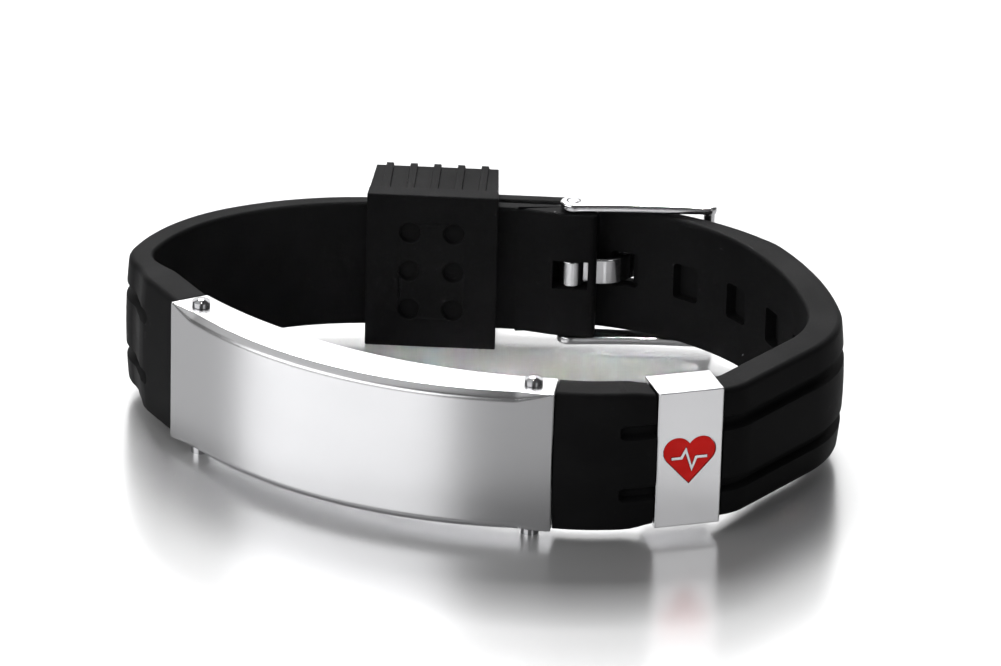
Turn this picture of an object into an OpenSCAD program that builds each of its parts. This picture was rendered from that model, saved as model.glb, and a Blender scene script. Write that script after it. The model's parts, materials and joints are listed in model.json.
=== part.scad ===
// Medical alert bracelet: a curved steel plate on a black rubber wrist strap,
// with a pin buckle, a thick strap keeper and a sliding steel tag.
// Units are millimetres. The band stands on edge with its axis along Z, the
// plate faces -Y, and Z = 0 is the surface that the bracelet rests on.

/* [Plate] */
// distance of the plate's right end to the right of the outline's middle
end_x = 8.48; // [8:0.02:9]
// distance of that end in front of the outline's middle
end_y = 26.02; // [25.5:0.02:26.5]
// height of the steel plate, across the wrist band
plate_h = 16; // [15.5:0.1:16.5]
// radius of the plate's front face
plate_front_r = 46.2; // [45:0.1:48]
// radius of the plate's back face, flatter than the front
plate_back_r = 53.5; // [52:0.1:55]
// thickness of the plate at its ends
plate_end_t = 4.45; // [4.3:0.05:4.6]
// width of the bevel along the front edges
bevel_w = 0.8; // [0.5:0.05:1]
// height of the bevel along the front edges
bevel_h = 0.75; // [0.4:0.05:0.9]
// radius of the arc along which the bevel fades out at the corners
fade_r = 86; // [70:1:110]
// diameter of the two rivets
rivet_d = 2; // [1.6:0.1:2.2]
// diameter of their shanks inside the plate
rivet_shank_d = 1.1; // [0.9:0.05:1.2]
// height of the rivet heads above the plate
rivet_head_h = 0.9; // [0.4:0.1:1.1]
// distance from the rivets to the ends of the plate
rivet_inset = 2.6; // [2.4:0.1:2.8]
// length of the strap's tongues inside the plate
tongue_len = 4.6; // [4.4:0.1:5]
// thickness of the tongues
tongue_t = 2.1; // [2:0.05:2.2]
// height of the tongues
tongue_h = 11; // [10:0.1:12]

/* [Strap] */
// height of the strap away from the plate
strap_h = 14.94; // [14.4:0.02:15.2]
// thickness in the middle of the ridged stretches on the right
crown_t = 4.2; // [4.1:0.05:4.3]
// thickness in the middle of the ridged stretch on the left
bend_t = 3; // [2.9:0.05:3.2]
// thickness of the short strap at the back
back_t = 2.3; // [2.2:0.05:2.4]
// thickness of the tail that lies over it
tail_t = 2.2; // [2.1:0.05:2.3]
// thickness of the strap along its edges, as a share of the middle's
rim_share = 0.88; // [0.84:0.01:0.92]
// softening between rim and outer face
rim_soft = 0.3; // [0.2:0.05:0.4]
// softening between rim and wrist side
edge_soft = 0.2; // [0.15:0.05:0.3]
// width of the two long grooves
groove_w = 1.3; // [1:0.1:1.6]
// distance of each groove from the middle of the strap
groove_z = 3.6; // [3.4:0.1:4]
// depth of the grooves
groove_depth = 1; // [0.8:0.05:1.1]
// plain length next to the plate, before the grooves start
plain_len = 5.9; // [5:0.1:6.5]

/* [Long strap] */
// radius of the stretch between the plate and the tag
lead_r = 22.7; // [22:0.1:23.4]
// length of the straight stretch inside the tag
tag_run = 6.65; // [6.5:0.05:7]
// radius of the sharp turn behind the tag
turn_r = 2.7; // [2.5:0.05:3]
// straight run after the sharp turn
side_run = 12; // [11.7:0.05:12.3]
// radius around the right-hand side
side_r = 11.4; // [11:0.1:11.8]
// radius of the flatter stretch behind the right-hand side
flank_r = 41.6; // [41:0.1:42.2]
// radius of the stretch that runs to the buckle and over the short strap
tail_r = 26.5; // [26:0.1:27]
// turn along which the strap thins down to the tail
thin_turn = 28; // [26:1:30]
// straight length of the tail, up to its tip inside the keeper
tail_len = 18.2; // [17.6:0.1:18.4]
// number of adjusting slots
slot_count = 5; // [3:1:5]
// distance from slot to slot
slot_pitch = 7.8; // [7.4:0.1:8]
// distance along the strap from the slot in use to the tail's turn
slot_back = 7.7; // [7.6:0.02:7.8]
// length of a slot, along the strap
slot_len = 3.3; // [2.8:0.1:3.6]
// height of a slot
slot_h = 4.2; // [3.8:0.1:4.4]
// depth of the slots, from the wrist side; only the prong goes through
slot_depth = 1.3; // [1:0.1:1.8]

/* [Short strap] */
// distance from the tail's turn to the short strap's end, measured along the tail
end_reach = 4.5; // [4.4:0.02:4.6]
// thickness that the strap starts with inside its loop
end_t = 1.75; // [1.6:0.05:1.8]
// gap between the short strap and the tail that lies over it
tail_gap = 0.12; // [0.1:0.01:0.2]
// straight run from the loop to the shoulder, inside the keeper
back_run = 22.95; // [22.7:0.05:23.2]
// radius after the keeper
shoulder_r = 30.8; // [30.5:0.05:31.1]
// radius around the left-hand side
bend_r = 19.4; // [19.1:0.05:19.7]
// radius of the small turn before the last run
nook_r = 3.9; // [3.7:0.05:4.2]
// straight run to the plate
hem_run = 11.9; // [11.6:0.05:12.1]
// thickness of the loop that holds the buckle's pin
loop_t = 3.2; // [3.1:0.05:3.25]
// height of the loop above the strap's wrist side
loop_rise = 1.2; // [1.1:0.05:1.3]
// length of the loop
loop_len = 4.2; // [4:0.1:4.4]
// length of the slope behind the loop, down to the strap's wrist side
loop_slope = 5; // [4:0.1:5.5]
// length of the slot that the prong turns in
loop_slot_len = 4; // [3.9:0.1:4.1]
// radius of the loop's rounded end
loop_soft = 0.8; // [0.6:0.1:1]
// distance from the loop's end to the hinge pin
pin_inset = 2.8; // [2.7:0.05:2.9]

/* [Tag] */
// length of the sliding tag, along the strap
tag_len = 7.3; // [7:0.1:7.6]
// height of the tag
tag_h = 15.66; // [15.5:0.02:15.8]
// thickness of the tag, front to back
tag_t = 4.95; // [4.8:0.05:5.1]
// thickness of its walls
tag_wall = 0.7; // [0.6:0.05:0.8]
// width of the enamelled heart
heart_w = 5.9; // [5:0.1:6]
// depth of the heart's recess
heart_depth = 0.35; // [0.3:0.05:0.4]
// width of the raised pulse line
pulse_w = 0.34; // [0.3:0.02:0.4]

/* [Keeper] */
// length of the keeper, along the strap
keeper_len = 14.8; // [14.2:0.1:15.4]
// amount by which it is narrower at its outer face, on each side
keeper_taper = 0.5; // [0.3:0.1:0.7]
// thickness of the wall next to the wrist
keeper_inner_t = 1.5; // [1.4:0.05:1.7]
// thickness of the outer wall
keeper_outer_t = 3; // [2.8:0.05:3.2]
// distance from the short strap's end to the middle of the keeper
keeper_pos = 18.55; // [18.2:0.05:18.8]
// number of ribs across the edges and the outer face
rib_count = 5; // [3:1:5]
// distance from rib to rib
rib_pitch = 2.7; // [2.4:0.1:2.8]
// width of a rib
rib_w = 0.85; // [0.6:0.05:1.2]
// height of the ribs
rib_h = 0.25; // [0.15:0.05:0.35]
// plain border between the ribs and the wrist side
rib_border = 2.3; // [2:0.1:3]
// diameter of the dimples on the wrist side
dimple_d = 2.4; // [2:0.1:2.6]
// depth of the dimples
dimple_depth = 0.8; // [0.5:0.1:1]
// distance between the two columns of dimples
dimple_dx = 4.96; // [4:0.02:5.4]
// distance between the three rows of dimples
dimple_dz = 4.66; // [3.8:0.02:5]

/* [Buckle] */
// distance along the strap from the far bar to the tail's turn
bar_back = 16; // [15.7:0.05:16.3]
// height of the frame's arms
arm_h = 0.95; // [0.8:0.05:1.1]
// width of the arms at the hinge pin, seen from above
arm_pin_w = 2.9; // [2.7:0.1:3.1]
// width of the arms at the far bar
arm_bar_w = 1.6; // [1.5:0.1:1.9]
// rise of the arms between pin and bar
arm_rise = 0.35; // [0.3:0.05:0.5]
// diameter of the far bar
bar_d = 1.3; // [1.1:0.1:1.4]
// diameter of the hinge pin
pin_d = 1.5; // [1.4:0.1:1.6]
// height of the prong
prong_h = 3.1; // [2.8:0.1:3.3]
// thickness of the prong
prong_t = 1.1; // [1:0.05:1.2]
// diameter of the prong's eye
eye_d = 2.7; // [2.6:0.05:2.8]
// offset of the prong's blade from the middle of the hinge pin
blade_rise = 0.4; // [0.3:0.05:0.5]

/* [Fit] */
// gap between pieces that carry each other
fit = 0.15; // [0.1:0.01:0.2]
// gap around the rivets, the pin and the enamel
fit_fine = 0.05; // [0.04:0.01:0.08]
// gap between pieces that pass each other
pass = 0.3; // [0.25:0.01:0.35]
// height of the band's lower edge above the surface it rests on
stand_off = 1.25; // [1.2:0.01:1.3]

/* [Hidden] */
$fn = 96;

STEEL = [0.78, 0.78, 0.80];
BRIGHT_STEEL = [0.88, 0.88, 0.90];
RUBBER = [0.07, 0.07, 0.08];
ENAMEL = [0.80, 0.09, 0.08];

mid_z = plate_h / 2 + stand_off;
// Length of the cuts that run past everything.
far = 100;
// Overlap of a cut with the face that it starts from.
seam = 0.1;

// Shares of the heart's width: lobe radius, rise of the lobes, drop of the tip.
lobe_share = 0.27;
lobe_rise = 0.155;
tip_drop = -0.49;
// Corners of the pulse line, as shares of the heart's width.
PULSE = [[-0.34, 0.02], [-0.15, 0.02], [-0.07, 0.17], [0.05, -0.2], [0.13, 0.02], [0.34, 0.02]];

// A frame is [x, y, heading]: a point on the wrist side of the band and the
// way the strap runs there, counter-clockwise seen from above.
plate_heading = -7.07;
right_start = [end_x, -end_y, plate_heading];
tag_heading = 17.29;
side_heading = 52.55;
flank_heading = 97.37;
tail_heading = 119.78;
back_heading = 177.6;
shoulder_turn = 36.16;
bend_turn = 37.61;
nook_turn = 48.63;

// Turn between two cross-sections of a curved stretch.
step_turn = 5;
// Number of steps in the round end of a groove.
nose_steps = 4;

// A stretch is [radius, turn, length, thicknesses, half heights, groove depths],
// each pair giving the values where it starts and where it ends.
RADIUS = 0;
TURN = 1;
LENGTH = 2;
THICK = 3;
HEIGHT = 4;
GROOVE = 5;

half_strap = strap_h / 2;
plate_thick = [plate_end_t, plate_end_t];
ridge_thick = [crown_t, crown_t];
bend_thick = [bend_t, bend_t];
plain_thick = [back_t, back_t];
tail_thick = [tail_t, tail_t];
tall = [plate_h / 2, plate_h / 2];
low = [half_strap, half_strap];
shallow = [0, 0];
deep = [1, 1];

// Turn of an arc of radius r along a length.
function turn_of(length, r) = length / r * 180 / PI;

nose_len = groove_w / 2;
lead_turn = tag_heading - right_start[2] - turn_of(plain_len + nose_len, lead_r);
tail_nose = turn_of(nose_len, tail_r);
tail_turn = back_heading - tail_heading;
long_run = [
    [lead_r, turn_of(plain_len, lead_r), 0, plate_thick, tall, shallow],
    [lead_r, turn_of(nose_len, lead_r), 0, plate_thick, tall, [0, 1]],
    [lead_r, lead_turn, 0, [plate_end_t, crown_t], [plate_h / 2, half_strap], deep],
    [0, 0, tag_run, ridge_thick, low, deep],
    [turn_r, side_heading - tag_heading, 0, ridge_thick, low, deep],
    [0, 0, side_run, ridge_thick, low, deep],
    [side_r, flank_heading - side_heading, 0, ridge_thick, low, deep],
    [flank_r, tail_heading - flank_heading, 0, ridge_thick, low, deep],
    [tail_r, tail_nose, 0, ridge_thick, low, [1, 0]],
    [tail_r, thin_turn - tail_nose, 0, [crown_t, tail_t], low, shallow],
    [tail_r, tail_turn - thin_turn, 0, tail_thick, low, shallow],
    [0, 0, tail_len, tail_thick, low, shallow]
];
TAG_STRETCH = 3;
TURN_STRETCH = 8;
TAIL_STRETCH = 11;

bend_nose = turn_of(nose_len, bend_r);
short_run = [
    [0, 0, loop_len - loop_soft, [end_t, back_t], low, shallow],
    [0, 0, back_run - loop_len, plain_thick, low, shallow],
    [shoulder_r, shoulder_turn, 0, [back_t, bend_t], low, shallow],
    [bend_r, bend_nose, 0, bend_thick, low, [0, 1]],
    [bend_r, bend_turn - bend_nose, 0, bend_thick, low, deep],
    [nook_r, nook_turn, 0, bend_thick, low, deep],
    [0, 0, hem_run - plain_len - nose_len, [bend_t, plate_end_t], [half_strap, plate_h / 2], deep],
    [0, 0, nose_len, plate_thick, tall, [1, 0]],
    [0, 0, plain_len, plate_thick, tall, shallow]
];

// Frame at the end of a stretch that starts at frame f.
function step(f, s) = s[TURN] == 0
    ? [f[0] + s[LENGTH] * cos(f[2]), f[1] + s[LENGTH] * sin(f[2]), f[2]]
    : [f[0] + s[RADIUS] * (sin(f[2] + s[TURN]) - sin(f[2])),
        f[1] - s[RADIUS] * (cos(f[2] + s[TURN]) - cos(f[2])),
        f[2] + s[TURN]];

function frame_at(start, run, i) = i == 0 ? start : step(frame_at(start, run, i - 1), run[i - 1]);

// Point at a distance n from the wrist side of a frame.
function outward(f, n) = [f[0] + n * sin(f[2]), f[1] - n * cos(f[2])];

// Centre of a circle through two points, on the left of the way from a to b.
function circle_centre(a, b, r) = (a + b) / 2
    + sqrt(r * r - norm(b - a) * norm(b - a) / 4) / norm(b - a) * [a[1] - b[1], b[0] - a[0]];

tag_frame = frame_at(right_start, long_run, TAG_STRETCH);
turn_frame = frame_at(right_start, long_run, TURN_STRETCH);
tail_frame = frame_at(right_start, long_run, TAIL_STRETCH);
short_xy = outward(step(tail_frame, [0, 0, -end_reach]), -tail_gap - back_t);
short_start = [short_xy[0], short_xy[1], back_heading];
// The strap itself starts inside the loop, behind the loop's rounded end.
strap_start = step(short_start, [0, 0, loop_soft]);
short_end = frame_at(strap_start, short_run, len(short_run));

left_corner = outward(short_end, plate_end_t);
right_corner = outward(right_start, plate_end_t);
front_centre = circle_centre(left_corner, right_corner, plate_front_r);
back_centre = circle_centre(outward(short_end, 0), outward(right_start, 0), plate_back_r);
fade_centre = circle_centre(left_corner, right_corner, fade_r);
tongue_n = 0.45 * plate_end_t;

// Frame on the long strap's wrist side, at a length measured back from the tail's turn.
function back_frame(length) = length < tail_arc
    ? step(tail_frame, [tail_r, -turn_of(length, tail_r), 0])
    : step(turn_frame, [flank_r, -turn_of(length - tail_arc, flank_r), 0]);

tail_arc = tail_turn * PI / 180 * tail_r;

// The hinge pin lies in the short strap's loop, the far bar on the long strap.
pin_xy = outward(step(short_start, [0, 0, pin_inset]), loop_t / 2 - loop_rise);
bar_frame = back_frame(bar_back);
thinned = (bar_frame[2] - tail_heading - tail_nose) / (thin_turn - tail_nose);
bar_t = crown_t + (tail_t - crown_t) * thinned;
bar_xy = outward(bar_frame, bar_t + fit + bar_d / 2);
frame_len = norm(bar_xy - pin_xy);
pin_frame = [pin_xy[0], pin_xy[1], atan2(bar_xy[1] - pin_xy[1], bar_xy[0] - pin_xy[0])];
tail_outer_n = tail_gap + back_t + tail_t;

// The prong runs under the strap, bends out through the slot and ends on the bar.
slot_in = step(slot_frame(0), [0, 0, prong_t]);
slot_out = step(slot_frame(0), [0, 0, -prong_t / 2]);
prong_path = [
    [pin_xy[0], pin_xy[1] + blade_rise],
    outward(slot_in, -pass - prong_t / 2),
    outward(slot_out, tail_t + pass + prong_t / 2),
    outward(bar_frame, bar_t + fit + bar_d + pass + prong_t / 2)
];

// Puts the children at a frame: +X runs along the strap, -Y points outward.
module at(f) {
    translate([f[0], f[1], mid_z])
        rotate([0, 0, f[2]])
            children();
}

// Distance of the outer face from the wrist side at a height z of a strap h high.
function crown(z, t, h) = t - (1 - rim_share) * t * z * z / h / h;

// Value at a share u of the way between the two of a pair.
function mix(pair, u) = pair[0] + (pair[1] - pair[0]) * u;

// Shares of the groove's width and of the rim's softening that shape the section.
nose_share = 0.3;
floor_share = 0.75;
lip_share = 0.7;
soft_share = 0.3;

// Upper half of the strap's section, from the wrist side to the middle of the outer face.
function half_section(t, h, g) =
    let (
        open = groove_w / 2 * (nose_share + (1 - nose_share) * g),
        floor_half = floor_share * open,
        rim = crown(h - rim_soft, t, h),
        soft = rim_soft * soft_share
    )
    [
        [0, h - edge_soft],
        [edge_soft, h],
        [rim - rim_soft, h],
        [rim - soft, h - soft],
        [rim, h - rim_soft],
        for (z = [groove_z + lip_share * groove_w, groove_z + open]) [crown(z, t, h), z],
        for (z = [groove_z + floor_half, groove_z - floor_half])
            [crown(z, t, h) - groove_depth * g, z],
        for (z = [groove_z - open, groove_z - 2 * lip_share * groove_w]) [crown(z, t, h), z]
    ];

// Whole section, as [distance from the wrist side, height] points.
function section(t, h, g) =
    let (upper = half_section(t, h, g), last = len(upper) - 1)
    concat(upper, [[t, 0]], [for (i = [last:-1:0]) [upper[i][0], -upper[i][1]]]);

// Depth of a groove that starts or ends with a round nose.
function groove_at(pair, u) = pair[0] == pair[1] ? pair[0]
    : sqrt(1 - pow(pair[1] > pair[0] ? 1 - u : u, 2));

// Number of steps that a stretch is skinned with.
function steps_of(s) = s[GROOVE][0] != s[GROOVE][1] ? nose_steps
    : max(1, ceil(s[TURN] / step_turn));

// Section of stretch s at a share u of its way, placed at frame f.
function ring(f, s, u) =
    [for (p = section(mix(s[THICK], u), mix(s[HEIGHT], u), groove_at(s[GROOVE], u)))
        [f[0] + p[0] * sin(f[2]), f[1] - p[0] * cos(f[2]), mid_z + p[1]]];

// All sections of a run of stretches.
function rings(start, run) =
    [for (i = [0:len(run) - 1], k = [i == 0 ? 0 : 1:steps_of(run[i])])
        let (u = k / steps_of(run[i]), s = run[i])
        ring(step(frame_at(start, run, i), [s[RADIUS], s[TURN] * u, s[LENGTH] * u]), s, u)];

// Strap skinned over its rings, as one closed solid.
module strap_body(start, run) {
    loops = rings(start, run);
    n = len(loops[0]);
    last = len(loops) - 1;
    sides = [for (i = [0:last - 1], j = [0:n - 1])
        let (a = i * n + j, b = i * n + (j + 1) % n)
        each [[a, b + n, b], [a, a + n, b + n]]];
    caps = [[for (j = [0:n - 1]) j], [for (j = [n - 1:-1:0]) last * n + j]];
    polyhedron(points = [for (loop = loops) each loop], faces = concat(sides, caps));
}

// Tongue of the strap inside the plate; grow widens it into the plate's pocket.
module tongue(sign, grow) {
    length = tongue_len + nose_len;
    translate([sign * (tongue_len - nose_len) / 2, -tongue_n, 0])
        cube([length + 2 * grow, tongue_t + 2 * grow, tongue_h + 2 * grow], center = true);
}

module id_plate() {
    color(STEEL)
        difference() {
            translate([0, 0, stand_off])
                linear_extrude(height = plate_h)
                    plate_outline();
            bevel_cut();
            at(right_start) {
                tongue(-1, fit);
                rivet_bore(-1);
            }
            at(short_end) {
                tongue(1, fit);
                rivet_bore(1);
            }
        }
}

// Outline of the plate between its two faces and its two ends.
module plate_outline() {
    difference() {
        translate(front_centre)
            circle(r = plate_front_r);
        translate(back_centre)
            circle(r = plate_back_r);
        translate([right_start[0], right_start[1]])
            rotate(right_start[2])
                translate([-seam, -far / 2])
                    square(far);
        translate([short_end[0], short_end[1]])
            rotate(short_end[2])
                translate([seam - far, -far / 2])
                    square(far);
    }
}

// Bevels along both front edges, fading out towards the corners.
module bevel_cut() {
    for (up = [0, 1])
        translate([0, 0, mid_z])
            mirror([0, 0, up])
                translate([0, 0, -plate_h / 2]) {
                    difference() {
                        translate(front_centre)
                            cylinder(h = bevel_h, r = plate_front_r + bevel_w);
                        translate(front_centre)
                            cylinder(h = bevel_h, r1 = plate_front_r - bevel_w, r2 = plate_front_r);
                        translate(fade_centre)
                            cylinder(h = bevel_h, r1 = fade_r, r2 = fade_r + bevel_w);
                    }
                }
}

module rivet_bore(sign) {
    translate([sign * rivet_inset, -tongue_n, -far / 2])
        cylinder(h = far, d = rivet_shank_d + 2 * fit_fine);
}

// Rivet with a domed head above the plate and a round foot below it.
module rivet(sign) {
    head_z = plate_h + stand_off + fit_fine;
    dome_r = 0.75 * rivet_d;
    translate([sign * rivet_inset, -tongue_n, -mid_z]) {
        cylinder(h = stand_off - fit_fine, d = rivet_d);
        cylinder(h = head_z + seam, d = rivet_shank_d);
        translate([0, 0, head_z])
            intersection() {
                cylinder(h = rivet_head_h, d = rivet_d);
                translate([0, 0, rivet_head_h - dome_r])
                    sphere(r = dome_r);
            }
    }
}

module rivet_left() {
    color(BRIGHT_STEEL)
        at(short_end)
            rivet(1);
}

module rivet_right() {
    color(BRIGHT_STEEL)
        at(right_start)
            rivet(-1);
}

module strap_long() {
    color(RUBBER)
        difference() {
            union() {
                strap_body(right_start, long_run);
                at(right_start)
                    tongue(-1, 0);
            }
            at(right_start)
                rivet_bore(-1);
            at(tag_frame)
                tag_neck();
            for (i = [0:slot_count - 1])
                at(slot_frame(i))
                    slot_cut();
            prong_blade(pass);
        }
}

// Frame of an adjusting slot, the one in use being number 0.
function slot_frame(i) = back_frame(slot_back + i * slot_pitch);

// Pocket of an adjusting slot in the wrist side of the strap.
module slot_cut() {
    translate([-slot_len / 2, -slot_depth, -slot_h / 2])
        cube([slot_len, slot_depth + plate_end_t, slot_h]);
}

module strap_short() {
    color(RUBBER)
        difference() {
            union() {
                strap_body(strap_start, short_run);
                at(short_end)
                    tongue(1, 0);
                at(short_start)
                    pin_loop();
            }
            at(short_end)
                rivet_bore(1);
            at(pin_frame) {
                cylinder(h = far, d = pin_d + 2 * fit_fine, center = true);
                translate([-loop_slot_len / 2 - fit, -plate_end_t, -prong_h / 2 - fit])
                    cube([loop_slot_len, 3 * plate_end_t, prong_h + 2 * fit]);
            }
            prong_blade(fit);
        }
}

// Thickened end of the short strap, around the hinge pin.
module pin_loop() {
    bottom = loop_rise - loop_t;
    linear_extrude(height = strap_h, center = true)
        union() {
            polygon([[loop_soft, bottom], [loop_len, bottom], [loop_len + loop_slope, -seam],
                [loop_len, loop_rise], [loop_soft, loop_rise]]);
            translate([0, bottom + loop_soft])
                square([loop_soft + seam, loop_t - 2 * loop_soft]);
            for (y = [bottom + loop_soft, loop_rise - loop_soft])
                translate([loop_soft, y])
                    circle(r = loop_soft);
        }
}

// Room that the tag leaves for the strap: everything outside its bore.
module tag_neck() {
    bore_t = tag_t - 2 * tag_wall - 2 * fit;
    bore_h = tag_h - 2 * tag_wall - 2 * fit;
    length = tag_len + 2 * fit;
    translate([tag_run / 2, 0, 0])
        difference() {
            cube([length, 4 * plate_end_t, far], center = true);
            translate([0, -bore_t / 2, 0])
                cube([length + seam, bore_t, bore_h], center = true);
        }
}

module keeper() {
    outer_n = tail_outer_n + pass + keeper_outer_t;
    inner_n = -pass - keeper_inner_t;
    depth = outer_n - inner_n;
    cavity = tail_outer_n + 2 * pass;
    half_len = keeper_len / 2;
    ribbed = (rib_count - 1) * rib_pitch + rib_w;
    color(RUBBER)
        at(short_start)
            translate([keeper_pos, -inner_n, 0])
                difference() {
                    translate([0, 0, -mid_z])
                        linear_extrude(height = 2 * mid_z)
                            polygon([[-half_len, 0], [half_len, 0],
                                [half_len - keeper_taper, -depth], [keeper_taper - half_len, -depth]]);
                    translate([-half_len - seam, -keeper_inner_t - cavity, -half_strap - pass])
                        cube([keeper_len + 2 * seam, cavity, strap_h + 2 * pass]);
                    for (i = [0:rib_count - 2])
                        translate([(i + 1 - rib_count / 2) * rib_pitch, 0, 0])
                            rib_gap(rib_pitch - rib_w, depth);
                    for (side = [-1, 1])
                        translate([side * (keeper_len + ribbed) / 4, 0, 0])
                            rib_gap((keeper_len - ribbed) / 2, depth);
                    for (x = [-0.5, 0.5], z = [-1:1])
                        translate([x * dimple_dx, seam, z * dimple_dz])
                            rotate([90, 0, 0])
                                cylinder(h = dimple_depth + seam, d = dimple_d);
                }
}

// Recess between two ribs, on the edges and the outer face of the keeper.
module rib_gap(w, depth) {
    difference() {
        translate([-w / 2, -depth - seam, -mid_z - seam])
            cube([w, depth + seam - rib_border, 2 * mid_z + 2 * seam]);
        translate([-w / 2 - seam, -depth + rib_h, -mid_z + rib_h])
            cube([w + 2 * seam, depth, 2 * mid_z - 2 * rib_h]);
    }
}

module buckle_frame() {
    arm_z = half_strap + fit;
    color(BRIGHT_STEEL)
        at(pin_frame) {
            for (up = [0, 1])
                mirror([0, 0, up])
                    translate([0, 0, arm_z])
                        linear_extrude(height = arm_h)
                            arm_outline();
            translate([frame_len, 0, 0])
                cylinder(h = 2 * arm_z + arm_h, d = bar_d, center = true);
        }
}

// Plan outline of a buckle arm: an arched, tapering bar with round ends and a pin hole.
module arm_outline() {
    steps = 24;
    middle = [for (i = [0:steps]) let (u = i / steps) [u * frame_len, 4 * arm_rise * u * (1 - u)]];
    half = [for (i = [0:steps]) mix([arm_pin_w, arm_bar_w], i / steps) / 2];
    difference() {
        union() {
            polygon(concat(
                [for (i = [0:steps]) middle[i] + [0, half[i]]],
                [for (i = [steps:-1:0]) middle[i] - [0, half[i]]]
            ));
            circle(d = arm_pin_w + seam);
            translate([frame_len, 0])
                circle(d = arm_bar_w + seam);
        }
        circle(d = pin_d + 2 * fit_fine);
    }
}

module hinge_pin() {
    color(BRIGHT_STEEL)
        at(pin_frame)
            cylinder(h = 2 * (half_strap + fit + arm_h) + seam, d = pin_d, center = true);
}

// Strokes of width w from point to point, with round ends.
module stroke(points, w) {
    for (i = [0:len(points) - 2]) {
        way = points[i + 1] - points[i];
        translate(points[i])
            rotate(atan2(way[1], way[0]))
                translate([0, -w / 2])
                    square([norm(way), w]);
    }
    for (point = points)
        translate(point)
            circle(d = w);
}

// Blade of the prong, from its eye to beyond the far bar, widened by grow.
module prong_blade(grow) {
    height = prong_h + 2 * grow;
    translate([0, 0, mid_z - height / 2])
        linear_extrude(height = height)
            stroke(prong_path, prong_t + 2 * grow);
}

module prong() {
    color(BRIGHT_STEEL)
        difference() {
            union() {
                prong_blade(0);
                at(pin_frame)
                    cylinder(h = prong_h, d = eye_d, center = true);
            }
            at(pin_frame)
                cylinder(h = far, d = pin_d + 2 * fit_fine, center = true);
        }
}

// Outline of a heart as wide as w, its middle at the origin.
module heart(w) {
    lobe_r = lobe_share * w;
    lobe = [w / 2 - lobe_r, lobe_rise * w];
    tip = [0, tip_drop * w];
    reach = norm(lobe - tip);
    lean = atan2(lobe[1] - tip[1], lobe[0]) - asin(lobe_r / reach);
    side = tip + sqrt(reach * reach - lobe_r * lobe_r) * [cos(lean), sin(lean)];
    polygon([tip, side, lobe, [-lobe[0], lobe[1]], [-side[0], side[1]]]);
    for (x = [-1, 1])
        translate([x * lobe[0], lobe[1]])
            circle(r = lobe_r);
}

// Pulse trace across the heart, drawn with strokes of width w.
module pulse(w) {
    stroke(heart_w * PULSE, w);
}

// Puts a 2D child on the tag's front face, starting depth below it.
module on_tag_face(depth, height) {
    at(tag_frame)
        translate([tag_run / 2, -(tag_t - tag_wall - fit) + depth, 0])
            rotate([90, 0, 0])
                linear_extrude(height = height)
                    children();
}

module tag_sleeve() {
    bore_t = tag_t - 2 * tag_wall;
    bore_h = tag_h - 2 * tag_wall;
    color(STEEL)
        difference() {
            at(tag_frame)
                translate([tag_run / 2, fit - bore_t / 2, 0])
                    difference() {
                        cube([tag_len, tag_t, tag_h], center = true);
                        cube([tag_len + seam, bore_t, bore_h], center = true);
                    }
            on_tag_face(heart_depth, heart_depth + seam)
                difference() {
                    heart(heart_w);
                    pulse(pulse_w);
                }
        }
}

module tag_enamel() {
    color(ENAMEL)
        on_tag_face(heart_depth - fit_fine, heart_depth - 2 * fit_fine)
            difference() {
                heart(heart_w - 4 * fit_fine);
                pulse(pulse_w + 2 * fit_fine);
            }
}

id_plate();
rivet_left();
rivet_right();
strap_short();
strap_long();
keeper();
buckle_frame();
hinge_pin();
prong();
tag_sleeve();
tag_enamel();
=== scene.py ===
"""Medical alert bracelet standing on its edge, dressed for a soft studio light.

The band is worked out in plan from a run of arcs and straights, as the frame
does it. Lengths are millimetres until a piece is finished, then metres.
"""
import json
import logging
from dataclasses import dataclass
from enum import Enum
from functools import cached_property, partial
from math import acos, asin, atan2, ceil, cos, degrees, hypot, pi, radians, sin, sqrt
from typing import Callable, Mapping, Sequence

import bmesh
import bpy
import numpy as np
from mathutils import Matrix, Vector

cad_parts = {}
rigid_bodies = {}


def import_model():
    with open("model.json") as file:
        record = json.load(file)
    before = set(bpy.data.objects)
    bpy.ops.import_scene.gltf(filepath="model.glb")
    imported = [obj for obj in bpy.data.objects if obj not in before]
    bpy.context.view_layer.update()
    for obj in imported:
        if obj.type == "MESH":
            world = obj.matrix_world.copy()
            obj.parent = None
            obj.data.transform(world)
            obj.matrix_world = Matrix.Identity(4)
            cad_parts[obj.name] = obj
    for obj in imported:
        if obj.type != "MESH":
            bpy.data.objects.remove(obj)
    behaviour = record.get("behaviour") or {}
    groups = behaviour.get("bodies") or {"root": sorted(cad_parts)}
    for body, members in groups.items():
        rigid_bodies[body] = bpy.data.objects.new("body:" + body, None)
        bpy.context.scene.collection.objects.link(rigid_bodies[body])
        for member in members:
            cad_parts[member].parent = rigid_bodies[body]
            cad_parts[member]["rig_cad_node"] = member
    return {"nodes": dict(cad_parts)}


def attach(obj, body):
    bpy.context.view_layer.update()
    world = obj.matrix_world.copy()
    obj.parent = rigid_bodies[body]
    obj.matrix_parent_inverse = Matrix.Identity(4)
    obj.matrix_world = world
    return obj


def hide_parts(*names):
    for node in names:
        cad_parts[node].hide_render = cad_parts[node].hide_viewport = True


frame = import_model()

LOG = logging.getLogger("bracelet")
MM = 0.001
# millimetres: points this close become one; half a tool that goes right through; a tool's overhang
MERGE = 1e-4
FAR = 20.0
BEYOND = 1.0
# share of an edge that the rounding of a corner may take
EDGE_SHARE = 0.45
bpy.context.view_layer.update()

Pair = tuple[float, float]
Colour = tuple[float, float, float]
Point = tuple[float, float, float]
Loop = Sequence[Vector]
Piece = bpy.types.Object
Place = Callable[[float, float, float], Vector]


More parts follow.
